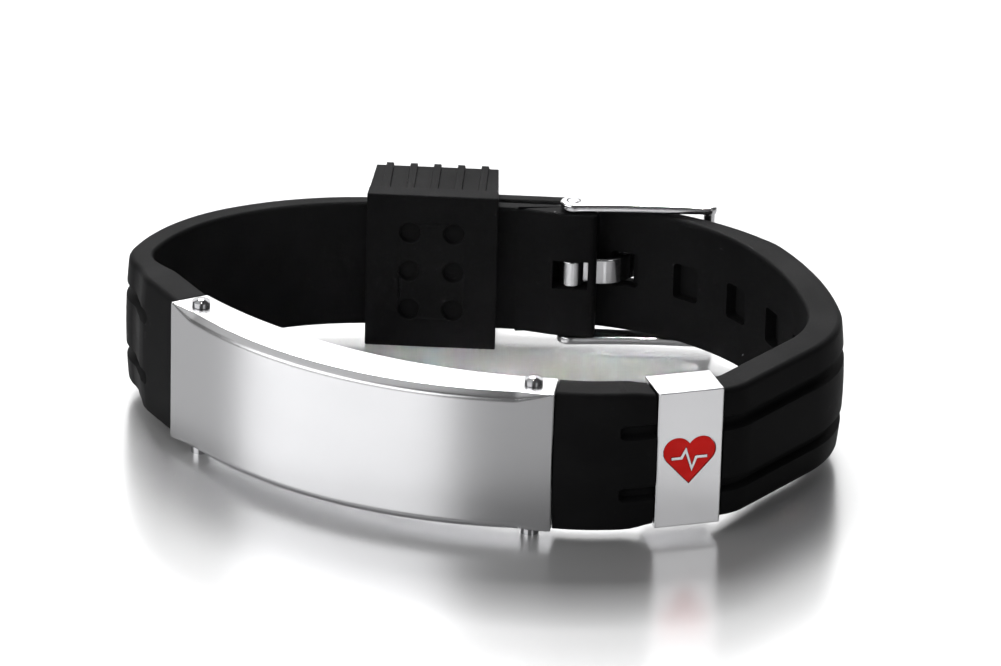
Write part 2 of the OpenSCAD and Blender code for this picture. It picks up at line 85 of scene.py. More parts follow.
@dataclass(frozen=True)
class Wire:
    """A shader socket that takes part in Python arithmetic."""

    graph: "Graph"
    socket: bpy.types.NodeSocket

    def _math(self, operation: str, *values: "Wire | float") -> "Wire":
        """One Math node over the given values."""
        sockets = {i: value for i, value in enumerate(values)}
        return self.graph.node("ShaderNodeMath", {"operation": operation}, sockets)

    def __add__(self, other: "Wire | float") -> "Wire":
        """Sum."""
        return self._math("ADD", self, other)

    def __sub__(self, other: "Wire | float") -> "Wire":
        """Difference."""
        return self._math("SUBTRACT", self, other)

    def __rsub__(self, other: float) -> "Wire":
        """Difference, from the right."""
        return self._math("SUBTRACT", other, self)

    def __mul__(self, other: "Wire | float") -> "Wire":
        """Product."""
        return self._math("MULTIPLY", self, other)

    __radd__, __rmul__ = __add__, __mul__

    def limited(self) -> "Wire":
        """The value held between 0 and 1."""
        return self._math("MINIMUM", self._math("MAXIMUM", self, 0.0), 1.0)


class Graph:
    """The node tree of one material or of the world."""

    def __init__(self, tree: bpy.types.NodeTree) -> None:
        """Takes over an empty tree."""
        self.tree = tree
        tree.nodes.clear()

    def node(self, kind: str, settings: Mapping[str, object], sockets: Mapping[str | int, object],
             output: str | int = 0) -> Wire | None:
        """Adds a node.

        Args:
            kind: Blender's type of the node.
            settings: what is set before the sockets, such as a Math node's operation.
            sockets: value or link of each input that isn't left as it is.
            output: the output that is wanted.

        Returns:
            The wanted output, or nothing from a node without outputs.
        """
        node = self.tree.nodes.new(kind)
        for name, value in settings.items():
            setattr(node, name, value)
        for key, value in sockets.items():
            if isinstance(value, Wire):
                self.tree.links.new(value.socket, node.inputs[key])
            else:
                node.inputs[key].default_value = value
        return Wire(self, node.outputs[output]) if len(node.outputs) else None

    def noise(self, scale: Point, detail: float, roughness: float = 0.5) -> Wire:
        """Noise from 0 to 1, with so many lumps in a metre of the piece along each axis.

        Args:
            scale: lumps in a metre along each axis.
            detail: how many finer layers it has.
            roughness: how strong the finer layers are.

        Returns:
            The noise.
        """
        point = self.node("ShaderNodeTexCoord", {}, {}, "Object")
        place = self.node("ShaderNodeMapping", {}, {"Vector": point, "Scale": scale})
        sockets = {"Vector": place, "Scale": 1.0, "Detail": detail, "Roughness": roughness}
        return self.node("ShaderNodeTexNoise", {"noise_dimensions": "3D"}, sockets, "Fac")

    def patches(self, scale: Point, detail: float, gain: float, start: float, roughness: float = 0.5) -> Wire:
        """Noise times a gain, less where it starts, held between 0 and 1."""
        return (self.noise(scale, detail, roughness) * gain - start).limited()

    def mix(self, first: Colour, second: Colour, factor: Wire) -> Wire:
        """A colour between two others."""
        sockets = {0: factor, 6: (*first, 1.0), 7: (*second, 1.0)}
        return self.node("ShaderNodeMix", {"data_type": "RGBA"}, sockets, 2)

    def bump(self, height: Wire, depth: float) -> Wire:
        """A normal that is bent by a height from 0 to 1, depth being in millimetres."""
        return self.node("ShaderNodeBump", {}, {"Height": height, "Distance": depth * MM, "Strength": 1.0})

    def surface(self, **sockets: object) -> None:
        """Closes the tree with a Principled shader; underscores in the names stand for spaces.

        Args:
            sockets: value or link of each input of the shader.
        """
        named = {name.replace("_", " "): value for name, value in sockets.items()}
        shader = self.node("ShaderNodeBsdfPrincipled", {}, named)
        self.node("ShaderNodeOutputMaterial", {}, {"Surface": shader})


@dataclass(frozen=True)
class Look:
    """A material: its main tone, the tone that it wanders to, and its roughness."""

    name: str
    tone: Colour
    second: Colour
    roughness: float

    def fill(self, graph: Graph) -> None:
        """Adds the nodes to an empty tree.

        Args:
            graph: the tree.
        """
        raise NotImplementedError

    def make(self) -> bpy.types.Material:
        """Builds the material.

        Returns:
            The material.
        """
        material = bpy.data.materials.new(self.name)
        material.use_nodes = True
        self.fill(Graph(material.node_tree))
        return material


@dataclass(frozen=True)
class Steel(Look):
    """Steel with fine brush lines, faint smears and a roughness that wanders.

    brush gives the brush lines in a metre along X, Y and Z, and depth their depth in millimetres.
    """

    wander: float = 0.02
    brush: Point = (60.0, 60.0, 9000.0)
    depth: float = 0.00012

    def fill(self, graph: Graph) -> None:
        """Adds the lines and the smears.

        Args:
            graph: the empty tree.
        """
        lines = graph.noise(self.brush, 3.0, 0.6)
        patches = graph.patches((90.0, 90.0, 140.0), detail=3.0, gain=2.4, start=0.7)
        tone = graph.mix(self.tone, self.second, (patches * 0.5 + lines * 0.5).limited())
        rough = self.roughness + (lines - 0.5) * self.wander + (patches - 0.5) * (self.wander * 0.7)
        graph.surface(Base_Color=tone, Metallic=1.0, Roughness=rough.limited(),
                      Normal=graph.bump(lines, self.depth))


@dataclass(frozen=True)
class Rubber(Look):
    """Moulded silicone rubber: near black, matte, with a fine grain and rubbed patches."""

    grain: float
    shine: float = 0.035
    depth: float = 0.012

    def fill(self, graph: Graph) -> None:
        """Adds the grain, the patches and some specks.

        Args:
            graph: the empty tree.
        """
        lumps = 1.0 / (self.grain * MM)
        grain = graph.noise((lumps,) * 3, 2.0, 0.6)
        patches = graph.patches((160.0, 160.0, 220.0), detail=4.0, gain=2.6, start=0.8, roughness=0.55)
        specks = graph.patches((1500.0,) * 3, detail=1.0, gain=9.0, start=6.2)
        tone = graph.mix(self.tone, self.second, (patches * 0.6 + specks * 0.4).limited())
        rough = self.roughness + (patches - 0.5) * 0.12 + (grain - 0.5) * 0.1 - specks * 0.08
        graph.surface(Base_Color=tone, Roughness=rough.limited(), Specular_IOR_Level=self.shine,
                      Normal=graph.bump(grain, self.depth))


@dataclass(frozen=True)
class Enamel(Look):
    """Glossy red enamel, a little deeper in colour where it pools, with a soft wave in its surface."""

    def fill(self, graph: Graph) -> None:
        """Adds the pools and some flecks.

        Args:
            graph: the empty tree.
        """
        pool = graph.noise((420.0,) * 3, 2.0)
        fleck = graph.noise((5200.0,) * 3, 1.0)
        tone = graph.mix(self.tone, self.second, (pool * 2.0 - 0.6 + (fleck - 0.5) * 0.3).limited())
        rough = (self.roughness + (pool - 0.5) * 0.1).limited()
        graph.surface(Base_Color=tone, Roughness=rough, Specular_IOR_Level=0.1, Coat_Weight=0.04,
                      Coat_Roughness=0.08, Normal=graph.bump(pool, 0.05))


@dataclass(frozen=True)
class Tabletop(Look):
    """Smooth white board, lacquered so that it mirrors what stands on it in a blur."""

    mirror: float

    def fill(self, graph: Graph) -> None:
        """Adds faint clouds.

        Args:
            graph: the empty tree.
        """
        cloud = graph.noise((9.0,) * 3, 2.0)
        graph.surface(Base_Color=graph.mix(self.tone, self.second, cloud),
                      Roughness=(self.roughness + (cloud - 0.5) * 0.03).limited(), Metallic=self.mirror)


class Finish(Enum):
    """The finishes of the bracelet's pieces."""

    plate_steel = Steel("satin_steel", (0.67, 0.67, 0.68), (0.63, 0.63, 0.64), roughness=0.26)
    rivet_steel = Steel("rivet_steel", (0.50, 0.50, 0.51), (0.40, 0.40, 0.41),
                        roughness=0.13, wander=0.08, brush=(900.0, 900.0, 900.0), depth=0.001)
    buckle_steel = Steel("polished_steel", (0.80, 0.80, 0.81), (0.70, 0.70, 0.71),
                         roughness=0.16, wander=0.08, brush=(250.0, 250.0, 2500.0), depth=0.001)
    tag_steel = Steel("tag_steel", (0.66, 0.66, 0.67), (0.62, 0.62, 0.63), roughness=0.22)
    strap_rubber = Rubber("strap_rubber", (0.0075, 0.0075, 0.0079), (0.0120, 0.0120, 0.0124),
                          roughness=0.58, grain=0.12)
    keeper_rubber = Rubber("keeper_rubber", (0.0085, 0.0085, 0.0089), (0.0130, 0.0130, 0.0134),
                           roughness=0.60, grain=0.14)
    enamel = Enamel("red_enamel", (0.95, 0.012, 0.008), (0.80, 0.008, 0.006), roughness=0.18)

    @cached_property
    def material(self) -> bpy.types.Material:
        """The finish's material, made at its first use."""
        return self.value.make()

    def dress(self, piece: Piece) -> None:
        """Covers a piece all over.

        Args:
            piece: a finished piece, or a node of the frame.
        """
        piece.data.materials.clear()
        piece.data.materials.append(self.material)
        "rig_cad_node" not in piece
        LOG.info("%s: %d faces, %s", piece.name, len(piece.data.polygons), self.value.name)


class Cut(Enum):
    """How a tool works on a piece."""

    AWAY = "DIFFERENCE"
    ON = "UNION"


def linked(data: bpy.types.ID) -> Piece:
    """An object in the scene, with the name of its data.

    Args:
        data: mesh, light or camera.

    Returns:
        The object.
    """
    piece = bpy.data.objects.new(data.name, data)
    bpy.context.scene.collection.objects.link(piece)
    return piece


def cleaned(mesh: bpy.types.Mesh, flat: bool = False) -> Piece:
    """An object of a mesh without double points, its normals pointing out or its flat faces cut anew.

    Args:
        mesh: the mesh, which is changed.
        flat: joins flat faces and cuts them anew, and leaves the normals.

    Returns:
        The object.
    """
    work = bmesh.new()
    work.from_mesh(mesh)
    bmesh.ops.remove_doubles(work, verts=work.verts, dist=MERGE)
    if flat:
        bmesh.ops.dissolve_limit(work, angle_limit=radians(0.3), verts=work.verts, edges=work.edges)
        bmesh.ops.triangulate(work, faces=work.faces)
    else:
        bmesh.ops.recalc_face_normals(work, faces=work.faces)
    work.to_mesh(mesh)
    work.free()
    return linked(mesh)


def piece_from(name: str, points: Sequence[Vector], faces: Sequence[Sequence[int]]) -> Piece:
    """A mesh object in millimetres.

    Args:
        name: name of the object and its mesh.
        points: all the points.
        faces: numbers of the points round each face.

    Returns:
        The object.
    """
    mesh = bpy.data.meshes.new(name)
    mesh.from_pydata([tuple(p) for p in points], [], [tuple(f) for f in faces])
    return cleaned(mesh)


def skin(name: str, loops: Sequence[Loop]) -> Piece:
    """Joins equally long loops of points to one piece and closes both ends.

    Args:
        name: name of the piece.
        loops: the loops, from one end to the other.

    Returns:
        The piece.
    """
    count, size = len(loops), len(loops[0])
    faces = []
    for i in range(count - 1):
        low, high = i * size, (i + 1) * size
        for j in range(size):
            k = (j + 1) % size
            faces.append((low + j, low + k, high + k, high + j))
    faces += [range(size), range((count - 1) * size, count * size)]
    return piece_from(name, [p for loop in loops for p in loop], faces)


def quarter(steps: int) -> list[float]:
    """Angles over a quarter turn, in equal steps."""
    return [pi / 2 * k / steps for k in range(steps + 1)]


def bend(first: Vector, corner: Vector, last: Vector, steps: int) -> list[Vector]:
    """Points of the curve that rounds a corner."""
    return [(1 - u) ** 2 * first + 2 * u * (1 - u) * corner + u * u * last
            for u in (k / steps for k in range(steps + 1))]


def oblong(low: Sequence[float], high: Sequence[float]) -> list[Pair]:
    """Counter-clockwise corners of a rectangle."""
    return [(low[0], low[1]), (high[0], low[1]), (high[0], high[1]), (low[0], high[1])]


def knob(radius: float, half: float, soft: float, steps: int) -> list[Pair]:
    """Profile for the lathe of a pin with rounded ends."""
    upper = [(radius - soft * (1 - cos(a)), half - soft * (1 - sin(a))) for a in quarter(steps)]
    return [(r, -z) for r, z in reversed(upper)] + upper


def rounded(points: Sequence[Pair], soft: Sequence[float], steps: int = 4) -> list[Pair]:
    """Rounds the corners of a closed outline.

    Args:
        points: the corners, in order.
        soft: how far from each corner its rounding starts.
        steps: number of steps in each rounding.

    Returns:
        The outline, with steps + 1 points for each corner.
    """
    outline = []
    for i, (here, reach) in enumerate(zip(points, soft)):
        corner = Vector(here)
        before, after = Vector(points[i - 1]) - corner, Vector(points[(i + 1) % len(points)]) - corner
        reach = min(reach, EDGE_SHARE * before.length, EDGE_SHARE * after.length)
        start, end = corner + before.normalized() * reach, corner + after.normalized() * reach
        outline += [tuple(point) for point in bend(start, corner, end, steps)]
    return outline


def inset(outline: Sequence[Pair], amount: float) -> list[Pair]:
    """Moves a counter-clockwise outline inwards by an amount.

    Args:
        outline: the outline.
        amount: how far it moves.

    Returns:
        The moved outline.
    """
    moved = []
    for i, here in enumerate(outline):
        way = Vector(outline[(i + 1) % len(outline)]) - Vector(outline[i - 1])
        way.normalize()
        moved.append((here[0] - way.y * amount, here[1] + way.x * amount))
    return moved


def pillow(name: str, outline: Sequence[Pair], low: float, high: float, soft: float, place: Place,
           steps: int = 4) -> Piece:
    """Extrudes an outline and rounds its upper and lower edges.

    Args:
        name: name of the piece.
        outline: counter-clockwise outline.
        low: height of the lower face.
        high: height of the upper face.
        soft: radius of the rounded edges.
        place: puts a point of the outline, with its height, into space.
        steps: number of steps in each rounded edge.

    Returns:
        The piece.
    """
    stages = [(soft * (1 - sin(a)), low + soft * (1 - cos(a))) for a in quarter(steps)]
    stages += [(amount, low + high - height) for amount, height in reversed(stages)]
    return skin(name, [[place(x, y, height) for x, y in inset(outline, amount)] for amount, height in stages])


def lathe(name: str, profile: Sequence[Pair], place: Place, sides: int = 40) -> Piece:
    """Turns a profile of (radius, height) points around its axis and closes its ends."""
    turns = [2 * pi * k / sides for k in range(sides)]
    return skin(name, [[place(r * cos(a), r * sin(a), z) for a in turns] for r, z in profile])


def block(name: str, low: Point, high: Point, place: Place) -> Piece:
    """A plain box between two corners, used as a tool."""
    return skin(name, [[place(x, y, z) for x, y in oblong(low, high)] for z in (low[2], high[2])])


def settle(piece: Piece) -> None:
    """Applies all the modifiers of a piece.

    Args:
        piece: the piece.
    """
    graph = bpy.context.evaluated_depsgraph_get()
    mesh = bpy.data.meshes.new_from_object(piece.evaluated_get(graph))
    piece.modifiers.clear()
    old, piece.data = piece.data, mesh
    bpy.data.meshes.remove(old)


def carve(piece: Piece, tool: Piece, how: Cut = Cut.AWAY) -> None:
    """Takes a tool away from a piece or adds it, and removes the tool.

    Args:
        piece: the piece.
        tool: what is taken away or added.
        how: which of the two.
    """
    change = piece.modifiers.new("carve", "BOOLEAN")
    change.object, change.operation, change.solver = tool, how.value, "MANIFOLD"
    settle(piece)
    bpy.data.meshes.remove(tool.data)


def soften(piece: Piece, width: float, angle: float, clamp: bool = True) -> None:
    """Rounds the edges of a piece that are sharper than an angle, by less if clamped and faces are small.

    Args:
        piece: the piece.
        width: how far from an edge its rounding starts.
        angle: the angle, in degrees.
        clamp: whether small faces make the rounding smaller.
    """
    edge = piece.modifiers.new("soften", "BEVEL")
    edge.width, edge.segments, edge.limit_method = width, 2, "ANGLE"
    edge.use_clamp_overlap = clamp
    edge.angle_limit = radians(angle)
    edge.miter_outer = "MITER_ARC"
    settle(piece)


def finish(piece: Piece, angle: float = 38.0) -> Piece:
    """Brings a piece to metres, shades it smoothly, hides the node that it is named after and hangs it on the
    root body.

    Args:
        piece: the piece, in millimetres.
        angle: edges sharper than so many degrees stay sharp.

    Returns:
        The same piece.
    """
    node = piece.name.removesuffix("_dressed")
    piece.data.transform(Matrix.Scale(MM, 4))
    piece.data.shade_smooth()
    piece.data.set_sharp_from_angle(angle=radians(angle))
    even = piece.modifiers.new("even", "WEIGHTED_NORMAL")
    even.keep_sharp = True
    settle(piece)
    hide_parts(node)
    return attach(piece, "root")


@dataclass(frozen=True)
class Spot:
    """A point on the wrist side of the band and the way the strap runs there, counter-clockwise."""

    x: float
    y: float
    heading: float

    def moved(self, length: float = 0.0, radius: float = 0.0, turn: float = 0.0) -> "Spot":
        """The spot after a straight length, or after a turn in degrees along a radius.

        Args:
            length: the straight length.
            radius: radius of the turn.
            turn: the turn; 0 means straight.

        Returns:
            The new spot.
        """
        way, to = radians(self.heading), radians(self.heading + turn)
        if turn == 0:
            return Spot(self.x + length * cos(way), self.y + length * sin(way), self.heading)
        return Spot(self.x + radius * (sin(to) - sin(way)),
                    self.y - radius * (cos(to) - cos(way)), self.heading + turn)

    def at(self, along: float, out: float, up: float) -> Vector:
        """The point that lies so far along the strap, out from the wrist and up from the middle.

        Args:
            along: distance along the strap.
            out: distance out from the wrist.
            up: height above the middle.

        Returns:
            The point.
        """
        way = radians(self.heading)
        return Vector((self.x + along * cos(way) + out * sin(way),
                       self.y + along * sin(way) - out * cos(way), Band.mid_z + up))

    def plan(self, x: float, y: float, z: float) -> Vector:
        """As at, with y to the left of the way instead of out."""
        return self.at(x, -y, z)

    def face(self, x: float, up: float, out: float) -> Vector:
        """As at, for an outline that is drawn on the outer face."""
        return self.at(x, out, up)


@dataclass(frozen=True)
class Stretch:
    """One arc or straight of the band, its pairs giving the values where it starts and ends."""

    thick: Pair
    half: Pair
    groove: Pair = (0.0, 0.0)
    length: float = 0.0
    radius: float = 0.0
    turn: float = 0.0

    @property
    def run(self) -> float:
        """Length along the wrist side."""
        return self.length + self.radius * radians(self.turn)

    def end(self, start: Spot, share: float = 1.0) -> Spot:
        """The spot at a share of the stretch."""
        return start.moved(self.length * share, self.radius, self.turn * share)


@dataclass(frozen=True)
class Band:
    """Sizes and plan of the rubber band, from the plate round to the plate."""

    mid_z = 9.25
    # stretches of the long run before the tag, the tail's arc and the straight tail
    tag_stretch, turn_stretch, tail_stretch = 3, 8, 11
    # heights of the section's points: shares of its half, below the rim, above the middle
    inner_shares, below_rim, above_middle = (0.35, 0.7, 0.9), (1.2, 2.0), 1.2
    # points in a groove, in groove widths from its middle
    groove_steps = (1.0, 0.85, 0.74, 0.64, 0.55, 0.46, 0.36, 0.2, 0.0)
    # a groove's width where it starts, its floor and its wall, as shares
    nose_share, floor_share, wall_share = 0.3, 0.55, 0.75
    # degrees and millimetres from loop to loop, and the loops of a groove's nose
    step_turn, step_len, nose_steps = 1.6, 1.3, 10
    # length over which the sizes blend, and the length at both ends where they don't
    blend_len, firm_len = 1.1, 1.5
    plate_half: float = 8.0
    strap_half: float = 7.47
    plate_t: float = 4.45
    crown_t: float = 4.2
    bend_t: float = 3.0
    back_t: float = 2.3
    tail_t: float = 2.2
    end_t: float = 1.75
    rim_share: float = 0.88
    rim_soft: float = 0.7
    edge_soft: float = 0.4
    groove_w: float = 1.3
    groove_z: float = 3.6
    groove_depth: float = 1.0
    plain_len: float = 5.9
    lead_r: float = 22.7
    tag_run: float = 6.65
    turn_r: float = 2.7
    side_run: float = 12.0
    side_r: float = 11.4
    flank_r: float = 41.6
    tail_r: float = 26.5
    thin_turn: float = 28.0
    tail_len: float = 18.2
    end_reach: float = 4.5
    tail_gap: float = 0.12
    back_run: float = 22.95
    shoulder_r: float = 30.8
    bend_r: float = 19.4
    nook_r: float = 3.9
    hem_run: float = 11.9
    loop_len: float = 4.2
    loop_soft: float = 0.8
    loop_slope: float = 5.0
    right_start: Spot = Spot(8.48, -26.02, -7.07)
    tag_heading: float = 17.29
    side_heading: float = 52.55
    flank_heading: float = 97.37
    tail_heading: float = 119.78
    back_heading: float = 177.6
    shoulder_turn: float = 36.16
    bend_turn: float = 37.61
    nook_turn: float = 48.63

    def long_run(self) -> list[Stretch]:
        """The stretches from the plate's right end to the tail's tip.

        Returns:
            The stretches, in order.
        """
        plate, crown, tail = (self.plate_t,) * 2, (self.crown_t,) * 2, (self.tail_t,) * 2
        tall, low, nose = (self.plate_half,) * 2, (self.strap_half,) * 2, self.groove_w / 2
        plain, first = degrees(self.plain_len / self.lead_r), degrees(nose / self.lead_r)
        last = degrees(nose / self.tail_r)
        lead = self.tag_heading - self.right_start.heading - plain - first
        full = partial(Stretch, crown, low, (1, 1))
        return [
            Stretch(plate, tall, radius=self.lead_r, turn=plain),
            Stretch(plate, tall, (0, 1), radius=self.lead_r, turn=first),
            Stretch((self.plate_t, self.crown_t), (self.plate_half, self.strap_half), (1, 1),
                    radius=self.lead_r, turn=lead),
            full(length=self.tag_run),
            full(radius=self.turn_r, turn=self.side_heading - self.tag_heading),
            full(length=self.side_run),
            full(radius=self.side_r, turn=self.flank_heading - self.side_heading),
            full(radius=self.flank_r, turn=self.tail_heading - self.flank_heading),
            Stretch(crown, low, (1, 0), radius=self.tail_r, turn=last),
            Stretch((self.crown_t, self.tail_t), low, radius=self.tail_r, turn=self.thin_turn - last),
            Stretch(tail, low, radius=self.tail_r,
                    turn=self.back_heading - self.tail_heading - self.thin_turn),
            Stretch(tail, low, length=self.tail_len),
        ]

    def short_run(self) -> list[Stretch]:
        """The stretches from the buckle's loop to the plate's left end.

        Returns:
            The stretches, in order.
        """
        back, bend, plate = (self.back_t,) * 2, (self.bend_t,) * 2, (self.plate_t,) * 2
        tall, low, nose = (self.plate_half,) * 2, (self.strap_half,) * 2, self.groove_w / 2
        first = degrees(nose / self.bend_r)
        return [
            Stretch((self.end_t, self.back_t), low, length=self.loop_len - self.loop_soft),
            Stretch(back, low, length=self.back_run - self.loop_len),
            Stretch((self.back_t, self.bend_t), low, radius=self.shoulder_r, turn=self.shoulder_turn),
            Stretch(bend, low, (0, 1), radius=self.bend_r, turn=first),
            Stretch(bend, low, (1, 1), radius=self.bend_r, turn=self.bend_turn - first),
            Stretch(bend, low, (1, 1), radius=self.nook_r, turn=self.nook_turn),
            Stretch((self.bend_t, self.plate_t), (self.strap_half, self.plate_half), (1, 1),
                    length=self.hem_run - self.plain_len - nose),
            Stretch(plate, tall, (1, 0), length=nose),
            Stretch(plate, tall, length=self.plain_len),
        ]

    @staticmethod
    def along(start: Spot, run: Sequence[Stretch], count: int) -> Spot:
        """The spot after the first stretches of a run.

        Args:
            start: where the run starts.
            run: its stretches.
            count: how many of them are passed.

        Returns:
            The spot.
        """
        for stretch in run[:count]:
            start = stretch.end(start)
        return start

    @property
    def tag_middle(self) -> Spot:
        """Middle of the tag, on the strap's wrist side."""
        return self.along(self.right_start, self.long_run(), self.tag_stretch).moved(self.tag_run / 2)

    @property
    def tail_spot(self) -> Spot:
        """Where the straight tail starts."""
        return self.along(self.right_start, self.long_run(), self.tail_stretch)

    @property
    def short_start(self) -> Spot:
        """The end of the short strap, under the tail."""
        foot = self.tail_spot.moved(-self.end_reach).at(0, -self.tail_gap - self.back_t, 0)
        return Spot(foot.x, foot.y, self.back_heading)

    @property
    def short_end(self) -> Spot:
        """Where the short strap meets the plate."""
        run = self.short_run()
        return self.along(self.short_start.moved(self.loop_soft), run, len(run))

    def back_spot(self, length: float) -> Spot:
        """The spot on the long strap that lies so far before the tail.

        Args:
            length: the distance along the wrist side.

        Returns:
            The spot.
        """
        arc = self.tail_r * radians(self.back_heading - self.tail_heading)
        if length < arc:
            return self.tail_spot.moved(radius=self.tail_r, turn=-degrees(length / self.tail_r))
        turn_spot = self.along(self.right_start, self.long_run(), self.turn_stretch)
        return turn_spot.moved(radius=self.flank_r, turn=-degrees((length - arc) / self.flank_r))

    def section(self, thick: float, half: float, groove: float) -> list[Pair]:
        """The strap's section.

        Args:
            thick: thickness in the middle.
            half: half its height.
            groove: depth of the grooves, as a share of the full one.

        Returns:
            (distance from the wrist side, height) points, all round.
        """
        def crown(z: float) -> float:
            """Distance of the outer face at a height."""
            return thick - (1 - self.rim_share) * thick * (z / half) ** 2

        def dip(offset: float) -> float:
            """Depth of the groove beside its middle.

            Args:
                offset: distance from the groove's middle.

            Returns:
                The depth.
            """
            wide = self.groove_w * (self.nose_share + (1 - self.nose_share) * groove) / 2
            u = min(max((abs(offset) / wide - self.floor_share) / self.wall_share, 0.0), 1.0)
            return self.groove_depth * groove * (1 - u * u * (3 - 2 * u))

        edge, soft, rim = self.edge_soft, self.rim_soft, crown(half - self.rim_soft)
        turns = quarter(5)
        upper = [(0.0, half * share) for share in self.inner_shares]
        upper += [(edge * (1 - cos(a)), half - edge * (1 - sin(a))) for a in turns]
        upper += [(rim - soft * (1 - sin(a)), half - soft * (1 - cos(a))) for a in turns]
        offsets = [s * self.groove_w for s in self.groove_steps]
        offsets += [-offset for offset in reversed(offsets[:-1])]
        upper += [(crown(half - d), half - d) for d in self.below_rim]
        upper += [(crown(self.groove_z + d) - dip(d), self.groove_z + d) for d in offsets]
        upper.append((crown(self.above_middle), self.above_middle))
        return [(0.0, 0.0), *upper, (thick, 0.0), *[(n, -z) for n, z in reversed(upper)]]

    def strap(self, name: str, start: Spot, run: Sequence[Stretch]) -> Piece:
        """Sweeps the section along a run of stretches.

        Args:
            name: name of the piece.
            start: where the run starts.
            run: its stretches.

        Returns:
            The strap, closed at both ends.
        """
        rows = []
        spot, gone = start, 0.0
        for stretch in run:
            first, last = stretch.groove
            steps = max(2, ceil(stretch.turn / self.step_turn), ceil(stretch.run / self.step_len))
            if first != last:
                steps = self.nose_steps
            for k in range(0 if stretch is run[0] else 1, steps + 1):
                u = k / steps
                nose = u if first > last else 1 - u
                grooved = first if first == last else sqrt(1 - nose * nose)
                thick, half = (a + (b - a) * u for a, b in (stretch.thick, stretch.half))
                rows.append((stretch.end(spot, u), gone + stretch.run * u, thick, half, grooved))
            gone += stretch.run
            spot = stretch.end(spot)
        far, thick, half = (np.array([row[i] for row in rows]) for i in (1, 2, 3))
        near = np.exp(-((far[:, None] - far[None, :]) / self.blend_len) ** 2)
        near /= near.sum(1)[:, None]
        inner = (far > self.firm_len) & (far < far[-1] - self.firm_len)
        thick, half = (np.where(inner, near @ v, v) for v in (thick, half))
        loops = [[row[0].at(0, n, z) for n, z in self.section(t, h, row[4])]
                 for row, t, h in zip(rows, thick, half)]
        return skin(name, loops)


@dataclass(frozen=True)
class Joint:
    """The tongue of a strap inside the plate, and the rivet that holds it."""

    spot: Spot
    sign: int
    tongue_len: float = 4.6
    buried: float = 0.65
    tongue_t: float = 2.1
    tongue_h: float = 11.0
    depth: float = 0.45 * Band.plate_t
    shank_d: float = 1.2
    inset: float = 2.6
    sides: int = 24

    def tongue(self, grow: float) -> Piece:
        """The tongue, or with grow the pocket that it lies in.

        Args:
            grow: how much larger it is on all sides.

        Returns:
            The tool.
        """
        ends = sorted((-self.sign * self.buried, self.sign * self.tongue_len))
        half_t, half_h = self.tongue_t / 2 + grow, self.tongue_h / 2 + grow
        return block("tongue", (ends[0] - grow, self.depth - half_t, -half_h),
                     (ends[1] + grow, self.depth + half_t, half_h), self.spot.at)

    def bore(self) -> Piece:
        """The hole for the rivet's shank.

        Returns:
            The tool.
        """
        middle = self.spot.moved(self.sign * self.inset)
        return lathe("bore", [(self.shank_d / 2, z) for z in (-FAR, FAR)],
                     lambda x, y, z: middle.at(x, self.depth + y, z), self.sides)

    def fasten(self, strap: Piece) -> None:
        """Gives a strap its tongue, with the hole."""
        carve(strap, self.tongue(0.0), Cut.ON)
        carve(strap, self.bore())


